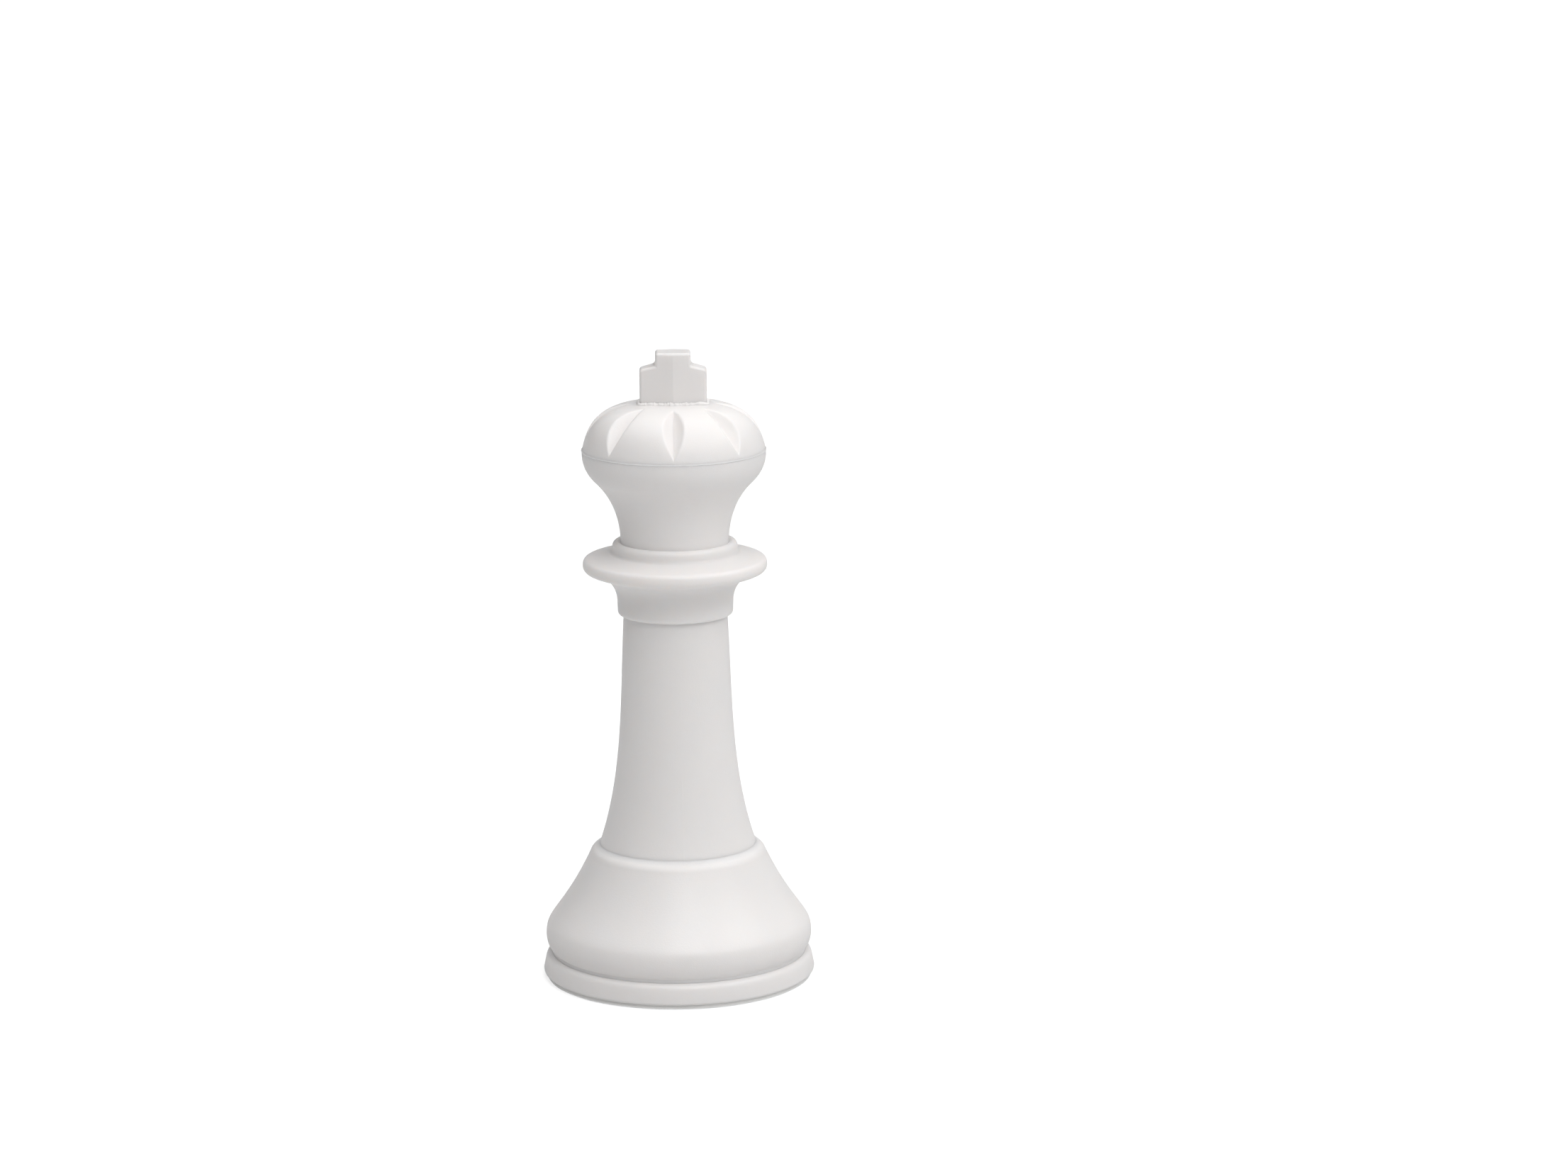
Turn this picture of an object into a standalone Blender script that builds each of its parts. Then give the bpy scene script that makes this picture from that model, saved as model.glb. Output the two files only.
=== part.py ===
"""Large felted king from an outdoor chess set, as an assembly of its moulded pieces.

Metres, +Z up. The origin is the centre of the felt's underside, on the ground. The broad faces
of the cross look along -Y and +Y. Lengths below are millimetres; MM turns them into metres.
"""

import math

import bmesh
import bpy
from mathutils import Matrix, Vector

MM = 0.001
GAP = 0.3               # clearance between two pieces that touch
TURN_STEPS = 40         # facets round a turned piece
SCREW_STEPS = 20        # facets round a screw and its holes
MERGE = 1e-5            # metres, welds a turned piece's seam
SMOOTH_ANGLE = math.radians(35.0)

# Heights above the ground, from the bottom up
FELT_TOP = 1.2
FOOT_BOTTOM = FELT_TOP + GAP
FLOOR_TOP = 4.3         # inside floor of the foot disc
FOOT_SEAT = 8.1         # where the bell stands on the foot disc
BELL_BOTTOM = 9.2       # underside of the bell's torus, above the open groove
STEM_LEDGE = 38.6       # ledge in the bell that carries the stem
LIP_TOP = 43.6          # where the stem enters the bell
BAND_BOTTOM = 118.9     # lower edge of the band over the stem
WEB_BOTTOM = 130.3      # web between the collar's two sockets
WEB_TOP = 133.5
BEAD_TOP = 142.5        # crest of the bead round the neck
EQUATOR = 171.8         # seam between head and crown cap
CAP_TOP = 186.7
CROSS_TOP = 203.2

# Radii
FOOT_R = 43.65
FELT_R = 42.8
GROOVE_R = 40.9         # root of the groove between foot disc and bell
SKIRT_R = 36.1          # inside of the bell's skirt
BELL_R = 42.75
STEM_FOOT_R = 24.6      # the stem where it stands in the bell
STEM_TOP_R = 16.65
STEM_SPIGOT_R = 15.6    # the stem's spigot inside the band
NECK_R = 17.2           # the head's spigot inside the bead
HEAD_R = 29.15
CAP_R = 29.0
CAP_LIP_R = 26.5        # the cap's locating lip, inside the head's rim

# The cross and its spigot
CROSS_HALF_W = 10.6
CROSS_TOP_HALF_W = 5.6
CROSS_HALF_T = 5.0      # half the thickness on the centre line
CROSS_END_HALF_T = 3.5  # half the thickness at the arm ends
ARM_TOP = 199.1
ARM_DROP = 1.3          # the arms' tops fall this much towards their ends
CROSS_ROUND = 0.9
SPIGOT_R = 4.0
SPIGOT_BOTTOM = 178.5

# The crown's grooves: a straight valley, from the equator up to the top
GROOVES = 8
VALLEY_LOW = (29.1, 173.1)
VALLEY_HIGH = (14.4, 185.5)
VALLEY_RUNOUT = 6.0     # the cutter runs past both ends of the valley
GROOVE_CUTTER_R = 8.0
GROOVE_HALF_ANGLE = math.radians(42.0)

# Screws that hold the foot disc to the bell's posts
SCREWS = 4
SCREW_PITCH_R = 30.0
POST_R = 3.2
POST_TOP = 29.0
PILOT_TOP = 17.5
SHANK_R = 1.5
HEAD_SCREW_R = 2.9
HEAD_BOTTOM = 1.8
HEAD_TOP = 3.3
THREAD_TOP = 15.0
POINT_TOP = 16.4
RECESS_W = 0.8
RECESS_DEPTH = 0.8

# The ballast
SLUG_R = 26.2
SLUG_TOP = 26.0
SLUG_CHAMFER = 1.0

WHITE = (0.86, 0.85, 0.835, 1.0)
FELT_GREY = (0.70, 0.715, 0.75, 1.0)
IRON = (0.16, 0.155, 0.15, 1.0)
STEEL = (0.55, 0.55, 0.56, 1.0)


def clear_scene():
    for obj in list(bpy.data.objects):
        bpy.data.objects.remove(obj, do_unlink=True)


def new_collection(name):
    collection = bpy.data.collections.new(name)
    bpy.context.scene.collection.children.link(collection)
    return collection


def new_material(name, colour, roughness, metallic=0.0):
    material = bpy.data.materials.new(name)
    material.use_nodes = True
    shader = material.node_tree.nodes["Principled BSDF"]
    shader.inputs["Base Color"].default_value = colour
    shader.inputs["Roughness"].default_value = roughness
    shader.inputs["Metallic"].default_value = metallic
    return material


def plastic(name):
    return new_material(name + "_plastic", WHITE, 0.38)


def add_object(name, mesh, collection, material=None):
    obj = bpy.data.objects.new(name, mesh)
    collection.objects.link(obj)
    if material is not None and not mesh.materials:
        mesh.materials.append(material)
    return obj


def mesh_from_bmesh(name, bm):
    mesh = bpy.data.meshes.new(name)
    bm.to_mesh(mesh)
    bm.free()
    return mesh


def as_cutter(obj):
    obj.hide_render = True
    obj.display_type = "WIRE"
    return obj


def boolean(obj, tool, operation):
    modifier = obj.modifiers.new(operation.lower() + "_" + tool.name, "BOOLEAN")
    modifier.operation = operation
    modifier.solver = "EXACT"
    modifier.object = tool


def freeze(obj):
    """Replaces the object's mesh with its evaluated one, shaded smooth between sharp edges."""
    graph = bpy.context.evaluated_depsgraph_get()
    mesh = bpy.data.meshes.new_from_object(obj.evaluated_get(graph))
    mesh.name = obj.name
    obj.modifiers.clear()
    obj.data = mesh
    mesh.shade_smooth()
    mesh.set_sharp_from_angle(angle=SMOOTH_ANGLE)
    return obj


# ---------------------------------------------------------------- outlines

def curve(start, handle_1, handle_2, end, count):
    """Points of a cubic curve in the (radius, height) plane."""
    points = []
    for i in range(count + 1):
        t = i / count
        s = 1.0 - t
        weights = (s ** 3, 3.0 * s * s * t, 3.0 * s * t * t, t ** 3)
        corners = (start, handle_1, handle_2, end)
        points.append(tuple(sum(w * c[k] for w, c in zip(weights, corners)) for k in (0, 1)))
    return points


def chain(*runs):
    """Joins runs of points and drops a point that repeats the one before it."""
    outline = []
    for run in runs:
        for point in run:
            if not outline or math.dist(point, outline[-1]) > 1e-6:
                outline.append(point)
    return outline


def cap_outline():
    dome = curve((7.0, CAP_TOP), (23.1, CAP_TOP + 0.3), (27.3, 180.8), (CAP_R, EQUATOR + GAP), 8)
    lip_inner = 24.7
    inside = [
        (CAP_LIP_R, EQUATOR + GAP), (CAP_LIP_R, 169.2), (lip_inner, 169.2), (lip_inner, 174.0),
        (12.8, 183.8), (7.2, 183.8), (7.2, 178.0), (SPIGOT_R + GAP, 178.0),
    ]
    return chain([(SPIGOT_R + GAP, CAP_TOP)], dome, inside)


def head_outline():
    waist = (25.5, 162.2)
    neck_top = (17.35, 145.0)
    wall = 2.4
    outside = chain(
        curve((HEAD_R, EQUATOR), (HEAD_R, 171.3), (29.6, 166.3), waist, 5),
        curve(waist, (21.0, 157.95), (18.1, 152.4), neck_top, 6),
        [(NECK_R, BEAD_TOP), (NECK_R, WEB_TOP + GAP), (NECK_R - wall, WEB_TOP + GAP)],
    )
    rim_inner = CAP_LIP_R + GAP
    inner_waist = (23.9, 164.4)
    inside = chain(
        curve((neck_top[0] - wall, 145.2), (15.8, 153.2), (19.0, 160.0), inner_waist, 4),
        curve(inner_waist, (25.5, 165.9), (26.55, 167.2), (rim_inner, 168.5), 2),
        [(rim_inner, EQUATOR)],
    )
    return chain(outside, inside)


def collar_outline():
    socket_r = NECK_R + GAP
    bore_r = STEM_SPIGOT_R + GAP
    bead = chain(
        [(socket_r, BEAD_TOP - 0.3)],
        curve((18.3, BEAD_TOP), (19.3, BEAD_TOP - 0.2), (19.9, 141.7), (19.9, 140.7), 3),
        [(19.95, 139.3), (20.7, 138.7)],
    )
    disc = chain(
        curve((27.8, 137.05), (28.85, 136.8), (29.3, 136.2), (29.35, 134.9), 3),
        curve((29.35, 134.9), (29.4, 133.5), (28.65, 132.8), (27.3, 132.4), 3),
    )
    band = chain(
        curve((25.25, 131.7), (21.15, 130.75), (18.9, 127.95), (18.5, 123.65), 4),
        curve((18.4, 120.25), (18.4, 119.45), (18.15, BAND_BOTTOM), (17.5, BAND_BOTTOM), 2),
    )
    inside = [
        (bore_r, BAND_BOTTOM), (bore_r, WEB_BOTTOM), (13.3, WEB_BOTTOM), (13.3, WEB_TOP),
        (socket_r, WEB_TOP),
    ]
    return chain(bead, disc, band, inside)


def stem_outline():
    shoulder = BAND_BOTTOM - GAP
    foot = STEM_LEDGE + GAP
    outside = chain(
        [(13.7, 129.7), (STEM_SPIGOT_R, 129.7), (STEM_SPIGOT_R, shoulder)],
        [(STEM_TOP_R, shoulder)],
        curve((STEM_TOP_R, 117.15), (18.0, 92.3), (17.2, 66.9), (24.85, LIP_TOP + 0.7), 10),
        [(STEM_FOOT_R, LIP_TOP + 0.4), (STEM_FOOT_R, foot), (22.4, foot)],
    )
    inside = chain(
        curve((22.4, LIP_TOP + 0.7), (14.9, 68.1), (15.6, 92.3), (14.3, 117.1), 5),
        [(13.7, shoulder)],
    )
    return chain(outside, inside)


def bell_outline():
    lip_edge = (28.35, 40.35)
    crease = (41.75, 18.3)
    socket_r = STEM_FOOT_R + GAP
    lip = chain(
        [(socket_r, LIP_TOP)],
        curve((26.4, 42.6), (27.4, 42.2), (27.95, 41.45), lip_edge, 2),
    )
    flank = curve(lip_edge, (34.55, 27.0), (39.8, 21.8), crease, 6)
    torus = chain(
        curve(crease, (42.5, 17.0), (BELL_R, 15.5), (BELL_R, 13.9), 3),
        curve((BELL_R, 13.9), (42.7, 12.0), (42.2, 10.2), (GROOVE_R, BELL_BOTTOM), 3),
    )
    skirt = [(GROOVE_R, FOOT_SEAT + GAP), (SKIRT_R, FOOT_SEAT + GAP)]
    inside = chain(
        curve((SKIRT_R, 16.4), (36.4, 23.5), (31.4, 27.6), (28.2, 36.1), 4),
        [(21.7, 36.1), (21.7, STEM_LEDGE), (socket_r, STEM_LEDGE)],
    )
    return chain(lip, flank, torus, skirt, inside)


def foot_outline():
    wall_r = SKIRT_R - GAP
    wall_inner = 33.9
    wall_top = 13.0
    top = [
        (0.0, FLOOR_TOP), (wall_inner, FLOOR_TOP), (wall_inner, wall_top), (wall_r, wall_top),
        (wall_r, FOOT_SEAT), (GROOVE_R, FOOT_SEAT),
    ]
    edge = chain(
        curve((41.3, 8.0), (42.3, 7.6), (42.8, 6.9), (43.0, 5.6), 3),
        curve((FOOT_R, 2.4), (FOOT_R, 1.9), (43.45, FOOT_BOTTOM), (42.9, FOOT_BOTTOM), 2),
    )
    return chain(top, edge, [(0.0, FOOT_BOTTOM)])


def slug_outline():
    bottom = FLOOR_TOP + GAP
    return [
        (0.0, SLUG_TOP), (SLUG_R - SLUG_CHAMFER, SLUG_TOP), (SLUG_R, SLUG_TOP - SLUG_CHAMFER),
        (SLUG_R, bottom), (0.0, bottom),
    ]


def felt_outline():
    return [(0.0, FELT_TOP), (FELT_R, FELT_TOP), (FELT_R, 0.0), (0.0, 0.0)]


def screw_outline():
    return [
        (0.0, POINT_TOP), (SHANK_R, THREAD_TOP), (SHANK_R, HEAD_TOP),
        (HEAD_SCREW_R, HEAD_BOTTOM), (0.0, HEAD_BOTTOM),
    ]


def countersink_outline():
    below = FOOT_BOTTOM - 1.0
    hole_r = SHANK_R + GAP
    mouth_r = HEAD_SCREW_R + 0.45
    return [
        (0.0, FLOOR_TOP + 1.0), (hole_r, FLOOR_TOP + 1.0), (hole_r, HEAD_TOP + 0.2),
        (mouth_r, HEAD_BOTTOM - 0.05), (mouth_r, below), (0.0, below),
    ]


# ---------------------------------------------------------------- shapes

def turned(name, outline, collection, material=None, steps=TURN_STEPS):
    """A closed outline in millimetres, outer side running down, turned about +Z."""
    bm = bmesh.new()
    verts = [bm.verts.new((r * MM, 0.0, z * MM)) for r, z in outline]
    for a, b in zip(verts, verts[1:]):
        bm.edges.new((a, b))
    starts_on_axis = outline[0][0] == 0.0
    if not starts_on_axis:
        bm.edges.new((verts[-1], verts[0]))
    obj = add_object(name, mesh_from_bmesh(name, bm), collection, material)
    screw = obj.modifiers.new("turn", "SCREW")
    screw.axis = "Z"
    screw.steps = steps
    screw.render_steps = steps
    screw.use_merge_vertices = True
    screw.merge_threshold = MERGE
    return obj


def cylinder(name, radius, low, high, collection, steps=TURN_STEPS, material=None):
    bm = bmesh.new()
    bmesh.ops.create_cone(
        bm, cap_ends=True, segments=steps, radius1=radius * MM, radius2=radius * MM,
        depth=(high - low) * MM, matrix=Matrix.Translation((0.0, 0.0, (low + high) / 2 * MM)),
    )
    return add_object(name, mesh_from_bmesh(name, bm), collection, material)


def ring_places(count, radius, first_angle=0.0):
    for i in range(count):
        angle = first_angle + 2.0 * math.pi * i / count
        yield i, angle, Vector((radius * math.cos(angle) * MM, radius * math.sin(angle) * MM, 0.0))


def screw_places():
    return ring_places(SCREWS, SCREW_PITCH_R, math.radians(45.0))


def groove_cutter(index, angle, cutters):
    """A square bar on edge, whose lower edge is the valley of one groove."""
    low = Vector((VALLEY_LOW[0], 0.0, VALLEY_LOW[1]))
    high = Vector((VALLEY_HIGH[0], 0.0, VALLEY_HIGH[1]))
    along = (high - low).normalized()
    outward = Vector((along.z, 0.0, -along.x))
    length = (high - low).length + 2.0 * VALLEY_RUNOUT
    centre = (low + high) / 2.0 + outward * GROOVE_CUTTER_R
    side = along.cross(outward)
    frame = Matrix((outward, side, along)).transposed().to_4x4()
    frame.translation = centre * MM
    bm = bmesh.new()
    bmesh.ops.create_cone(
        bm, cap_ends=True, segments=4, radius1=GROOVE_CUTTER_R * MM,
        radius2=GROOVE_CUTTER_R * MM, depth=length * MM,
        matrix=frame @ Matrix.Diagonal((1.0, math.tan(GROOVE_HALF_ANGLE), 1.0, 1.0)),
    )
    name = f"groove_cutter_{index + 1}"
    obj = add_object(name, mesh_from_bmesh(name, bm), cutters)
    obj.rotation_euler = (0.0, 0.0, angle)
    return as_cutter(obj)


def half_thickness(x):
    """The cross is thickest on its centre line and thins evenly towards its arm ends."""
    return CROSS_HALF_T + (CROSS_END_HALF_T - CROSS_HALF_T) * abs(x) / CROSS_HALF_W


def cross_block(name, collection, material):
    """The stepped cross: a box cut at its centre line and at the top block's sides."""
    foot = CAP_TOP + GAP
    bm = bmesh.new()
    size = Matrix.Diagonal((2.0 * CROSS_HALF_W, 2.0, ARM_TOP - foot, 1.0))
    bmesh.ops.create_cube(bm, size=1.0, matrix=size)
    for x in (-CROSS_TOP_HALF_W, 0.0, CROSS_TOP_HALF_W):
        bmesh.ops.bisect_plane(
            bm, geom=bm.verts[:] + bm.edges[:] + bm.faces[:], plane_co=(x, 0.0, 0.0),
            plane_no=(1.0, 0.0, 0.0),
        )
    for vert in bm.verts:
        is_top = vert.co.z > 0.0
        is_end = abs(vert.co.x) > CROSS_TOP_HALF_W + 0.1
        vert.co.y *= half_thickness(vert.co.x)
        vert.co.z = ARM_TOP if is_top else foot
        if is_top and is_end:
            vert.co.z -= ARM_DROP
    top_faces = [
        f for f in bm.faces
        if f.normal.z > 0.5 and abs(f.calc_center_median().x) < CROSS_TOP_HALF_W
    ]
    raised = bmesh.ops.extrude_face_region(bm, geom=top_faces)["geom"]
    for item in raised:
        if isinstance(item, bmesh.types.BMVert):
            item.co.z = CROSS_TOP
    bmesh.ops.delete(bm, geom=top_faces, context="FACES")
    bmesh.ops.scale(bm, vec=(MM, MM, MM), verts=bm.verts)
    bmesh.ops.recalc_face_normals(bm, faces=bm.faces)
    obj = add_object(name, mesh_from_bmesh(name, bm), collection, material)
    bevel = obj.modifiers.new("rounded_edges", "BEVEL")
    bevel.width = CROSS_ROUND * MM
    bevel.segments = 2
    bevel.limit_method = "ANGLE"
    bevel.angle_limit = math.radians(40.0)
    return obj


# ---------------------------------------------------------------- pieces

def make_cross_finial(parts, cutters):
    obj = cross_block("cross_finial", parts, plastic("cross"))
    spigot = cylinder("cross_spigot", SPIGOT_R, SPIGOT_BOTTOM, CAP_TOP + 2.0, cutters)
    boolean(obj, as_cutter(spigot), "UNION")
    return obj


def make_crown_cap(parts, cutters):
    obj = turned("crown_cap", cap_outline(), parts, plastic("crown"))
    for index, angle, _ in ring_places(GROOVES, 0.0):
        boolean(obj, groove_cutter(index, angle, cutters), "DIFFERENCE")
    return obj


def make_base_bell(parts, cutters):
    obj = turned("base_bell", bell_outline(), parts, plastic("bell"))
    foot = FLOOR_TOP + GAP
    for index, _, place in screw_places():
        post = cylinder(f"post_{index + 1}", POST_R, foot, POST_TOP, cutters, SCREW_STEPS)
        post.location = place
        boolean(obj, as_cutter(post), "UNION")
    for index, _, place in screw_places():
        name = f"pilot_hole_{index + 1}"
        pilot = cylinder(name, SHANK_R + GAP, foot - 1.0, PILOT_TOP, cutters, SCREW_STEPS)
        pilot.location = place
        boolean(obj, as_cutter(pilot), "DIFFERENCE")
    return obj


def make_foot_disc(parts, cutters):
    obj = turned("foot_disc", foot_outline(), parts, plastic("foot"))
    for index, _, place in screw_places():
        name = f"countersink_{index + 1}"
        hole = turned(name, countersink_outline(), cutters, steps=SCREW_STEPS)
        hole.location = place
        boolean(obj, as_cutter(hole), "DIFFERENCE")
    return obj


def make_screws(parts, cutters):
    """Four countersunk screws that share one mesh, with a cross recess in the head."""
    steel = new_material("screw_steel", STEEL, 0.35, 1.0)
    first = turned("foot_screw_1", screw_outline(), parts, steel, SCREW_STEPS)
    for name, size_x, size_y in (("recess_x", 3.2, RECESS_W), ("recess_y", RECESS_W, 3.2)):
        bm = bmesh.new()
        matrix = Matrix.Translation((0.0, 0.0, HEAD_BOTTOM * MM))
        matrix = matrix @ Matrix.Diagonal((size_x * MM, size_y * MM, 2 * RECESS_DEPTH * MM, 1.0))
        bmesh.ops.create_cube(bm, size=1.0, matrix=matrix)
        slot = add_object(name, mesh_from_bmesh(name, bm), cutters)
        boolean(first, as_cutter(slot), "DIFFERENCE")
    freeze(first)
    screws = []
    for index, _, place in screw_places():
        screw = first if index == 0 else add_object(f"foot_screw_{index + 1}", first.data, parts)
        screw.location = place
        screws.append(screw)
    return screws


def main():
    clear_scene()
    parts = new_collection("chess_king")
    cutters = new_collection("cutters")
    shells = [
        make_cross_finial(parts, cutters),
        make_crown_cap(parts, cutters),
        turned("head_shell", head_outline(), parts, plastic("head")),
        turned("collar_ring", collar_outline(), parts, plastic("collar")),
        turned("stem_shell", stem_outline(), parts, plastic("stem")),
        make_base_bell(parts, cutters),
        make_foot_disc(parts, cutters),
        turned("ballast_slug", slug_outline(), parts, new_material("slug_iron", IRON, 0.6, 1.0)),
        turned("felt_pad", felt_outline(), parts, new_material("pad_felt", FELT_GREY, 0.95)),
    ]
    for shell in shells:
        freeze(shell)
    make_screws(parts, cutters)


main()
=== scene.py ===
"""Looks of the large felted chess king: fine moulded shells, glue line, felt and studio.

Lengths are millimetres until a mesh is made, and MM turns them into metres. Every piece has the
outline of the CAD node it stands for, with its corners rounded and its joints drawn tight.
"""

import math

import bmesh
import bpy
import numpy as np
from mathutils import Matrix, Vector, noise


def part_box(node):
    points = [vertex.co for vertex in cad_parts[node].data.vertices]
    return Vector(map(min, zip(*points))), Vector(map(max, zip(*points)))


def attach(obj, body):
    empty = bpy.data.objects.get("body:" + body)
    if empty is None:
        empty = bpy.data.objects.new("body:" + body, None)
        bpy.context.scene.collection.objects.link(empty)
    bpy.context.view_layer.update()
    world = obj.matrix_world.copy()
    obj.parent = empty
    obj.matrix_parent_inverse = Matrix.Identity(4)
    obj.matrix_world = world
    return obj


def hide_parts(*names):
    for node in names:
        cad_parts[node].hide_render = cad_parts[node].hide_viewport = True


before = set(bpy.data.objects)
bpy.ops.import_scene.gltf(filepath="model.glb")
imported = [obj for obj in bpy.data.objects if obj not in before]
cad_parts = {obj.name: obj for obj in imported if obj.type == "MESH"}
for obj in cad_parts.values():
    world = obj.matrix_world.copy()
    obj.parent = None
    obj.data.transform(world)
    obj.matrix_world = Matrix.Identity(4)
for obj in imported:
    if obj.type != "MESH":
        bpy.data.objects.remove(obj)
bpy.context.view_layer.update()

MM = 0.001
TINY = 1e-6             # lengths below this are nothing, in the unit at hand
WELD = 1e-7             # metres; nearer points are one
BODY = "root"


def node_top(node):
    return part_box(node)[1].z / MM


def node_bottom(node):
    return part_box(node)[0].z / MM


def node_reach(node):
    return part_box(node)[1].x / MM


# Heights and radii that come from the frame
FELT_R = node_reach("felt_pad")
FOOT_BOTTOM = node_bottom("foot_disc")
FOOT_R = node_reach("foot_disc")
BELL_R = node_reach("base_bell")
LIP_TOP = node_top("base_bell")
BEAD_TOP = node_top("collar_ring")
BAND_BOTTOM = node_bottom("collar_ring")
EQUATOR = node_top("head_shell")
HEAD_R = node_reach("head_shell")
CAP_R = node_reach("crown_cap")
CAP_TOP = node_top("crown_cap")
CROSS_TOP = node_top("cross_finial")
CROSS_HALF_W = node_reach("cross_finial")

SEAM = 0.015            # hairline left by a pressed or glued joint
DOME_END = 0.3          # the dome's curve stops this far above the crown seam
SEGMENTS = 160          # round a turned piece
FINE = 14               # steps along a short curve
LONG = 30               # steps along a long curve
FLANK = 48              # steps along the bell's flank
WAIST = 56              # steps along the stem's waist
DOME = 84               # steps along the crown's dome
SOFT_STEPS = 5          # steps across a rounded corner


# ---------------------------------------------------------------- outlines

def curve(start, handle_1, handle_2, end, count):
    """Points of a cubic curve in the (radius, height) plane."""
    t = np.linspace(0.0, 1.0, count + 1)[:, None]
    s = 1.0 - t
    corners = [np.array(p, float) for p in (start, handle_1, handle_2, end)]
    weights = (s ** 3, 3.0 * s * s * t, 3.0 * s * t * t, t ** 3)
    return [tuple(p) for p in sum(w * c for w, c in zip(weights, corners))]


def chain(*runs):
    """Joins runs of points and drops a point that repeats the one before it.

    A third number on a point is how far its rounding reaches along both neighbours.
    """
    outline = []
    for run in runs:
        for point in run:
            if outline and math.dist(point[:2], outline[-1][:2]) < TINY:
                if len(point) > 2:
                    outline[-1] = point
                continue
            outline.append(point)
    return outline


def walk(outline, index, step, reach):
    """The place at a distance along the outline from a corner, and how many points it passes."""
    here = np.array(outline[index][:2])
    left = reach
    passed = 0
    while True:
        following = index + step * (passed + 1)
        if following < 0 or following >= len(outline):
            return here, passed
        there = np.array(outline[following][:2])
        span = float(np.linalg.norm(there - here))
        if span >= left:
            return here + (there - here) * left / span, passed
        here = there
        left -= span
        passed += 1


def rounded(outline):
    """Replaces every corner that has a third number by a small arc."""
    result = []
    skip_until = 0
    for i, point in enumerate(outline):
        if i < skip_until:
            continue
        if len(point) < 3:
            result.append(tuple(point))
            continue
        before, behind = walk(outline, i, -1, point[2])
        after, ahead = walk(outline, i, 1, point[2])
        if behind:
            del result[-behind:]
        corner = np.array(point[:2])
        for k in range(SOFT_STEPS + 1):
            t = k / SOFT_STEPS
            place = (1 - t) ** 2 * before + 2 * t * (1 - t) * corner + t * t * after
            result.append(tuple(place))
        skip_until = i + ahead + 1
    return result


# ---------------------------------------------------------------- meshes

def add_mesh(name, verts, faces, material, sharp=40.0):
    """A smooth-shaded piece from points in millimetres, with doubled points welded."""
    mesh = bpy.data.meshes.new(name)
    mesh.from_pydata([tuple(float(c) * MM for c in v) for v in verts], [], faces)
    bm = bmesh.new()
    bm.from_mesh(mesh)
    bmesh.ops.remove_doubles(bm, verts=bm.verts, dist=WELD)
    bmesh.ops.recalc_face_normals(bm, faces=bm.faces)
    bm.to_mesh(mesh)
    bm.free()
    mesh.shade_smooth()
    mesh.set_sharp_from_angle(angle=math.radians(sharp))
    mesh.materials.append(material)
    obj = bpy.data.objects.new(name, mesh)
    bpy.context.scene.collection.objects.link(obj)
    return obj


def grid_faces(rows, columns, closed_rows):
    """Quads between the rows of a grid whose columns run round and meet."""
    faces = []
    for i in range(rows if closed_rows else rows - 1):
        for j in range(columns):
            a, b = i * columns, ((i + 1) % rows) * columns
            k = (j + 1) % columns
            faces.append((a + j, b + j, b + k, a + k))
    return faces


def even_angles():
    return np.arange(SEGMENTS) * 2.0 * math.pi / SEGMENTS


def turned(name, outline, material, angles=None, swell=None):
    """A closed outline turned about +Z. swell(angle, height) is added to the radius."""
    if angles is None:
        angles = even_angles()
    points = np.array(rounded(outline))
    r = np.repeat(points[:, 0][:, None], len(angles), axis=1)
    z = np.repeat(points[:, 1][:, None], len(angles), axis=1)
    if swell is not None:
        r = r + swell(angles[None, :], z) * (r > 0.0)
    verts = np.stack([r * np.cos(angles), r * np.sin(angles), z], axis=-1).reshape(-1, 3)
    on_axis = outline[0][0] == 0.0
    return add_mesh(name, verts, grid_faces(len(points), len(angles), not on_axis), material)


def wear(obj, node):
    """Puts a piece on the body in place of the CAD node it stands for."""
    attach(obj, BODY)
    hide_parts(node)
    return obj


# ---------------------------------------------------------------- materials

GRAIN_SCALE = 2600.0    # mould grain, per metre
GRAIN_BUMP = 0.6
GRAIN_HEIGHT = 0.00006  # metres
SHRINK_SCALE = 160.0    # slow waves of cooled plastic
SHRINK_BUMP = 0.06
SHRINK_HEIGHT = 0.0004
LIGHT_DEPTH = 0.0022    # metres that light goes into the plastic
LIGHT_REACH = (1.0, 0.9, 0.82)
FLOOR_GLOW = 0.52       # the table's own light, seen by the camera alone
FLOOR_PALE = 0.67
FLOOR_TOUCH = 0.001     # metres; a shorter ray starts on the felt's underside


def new_material(name):
    """A new material, its node tree and its surface shader."""
    material = bpy.data.materials.new(name)
    material.use_nodes = True
    tree = material.node_tree
    return material, tree, tree.nodes["Principled BSDF"]


def add_node(tree, kind, **values):
    """A node with its named sockets or properties set."""
    made = tree.nodes.new(kind)
    for key, value in values.items():
        if key in made.inputs:
            made.inputs[key].default_value = value
        else:
            setattr(made, key.lower().replace(" ", "_"), value)
    return made


def feed(tree, socket, value):
    """Links another node's output to a socket, or sets the socket to a plain value."""
    if isinstance(value, bpy.types.NodeSocket):
        tree.links.new(value, socket)
    else:
        socket.default_value = value


def math_node(tree, operation, first, second=0.0):
    made = tree.nodes.new("ShaderNodeMath")
    made.operation = operation
    feed(tree, made.inputs[0], first)
    feed(tree, made.inputs[1], second)
    return made.outputs["Value"]


def noise_at(tree, scale, detail=2.0, roughness=0.5):
    place = tree.nodes.get("Place") or tree.nodes.new("ShaderNodeTexCoord")
    place.name = "Place"
    made = add_node(tree, "ShaderNodeTexNoise", Scale=scale, Detail=detail, Roughness=roughness)
    tree.links.new(place.outputs["Object"], made.inputs["Vector"])
    return made


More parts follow.
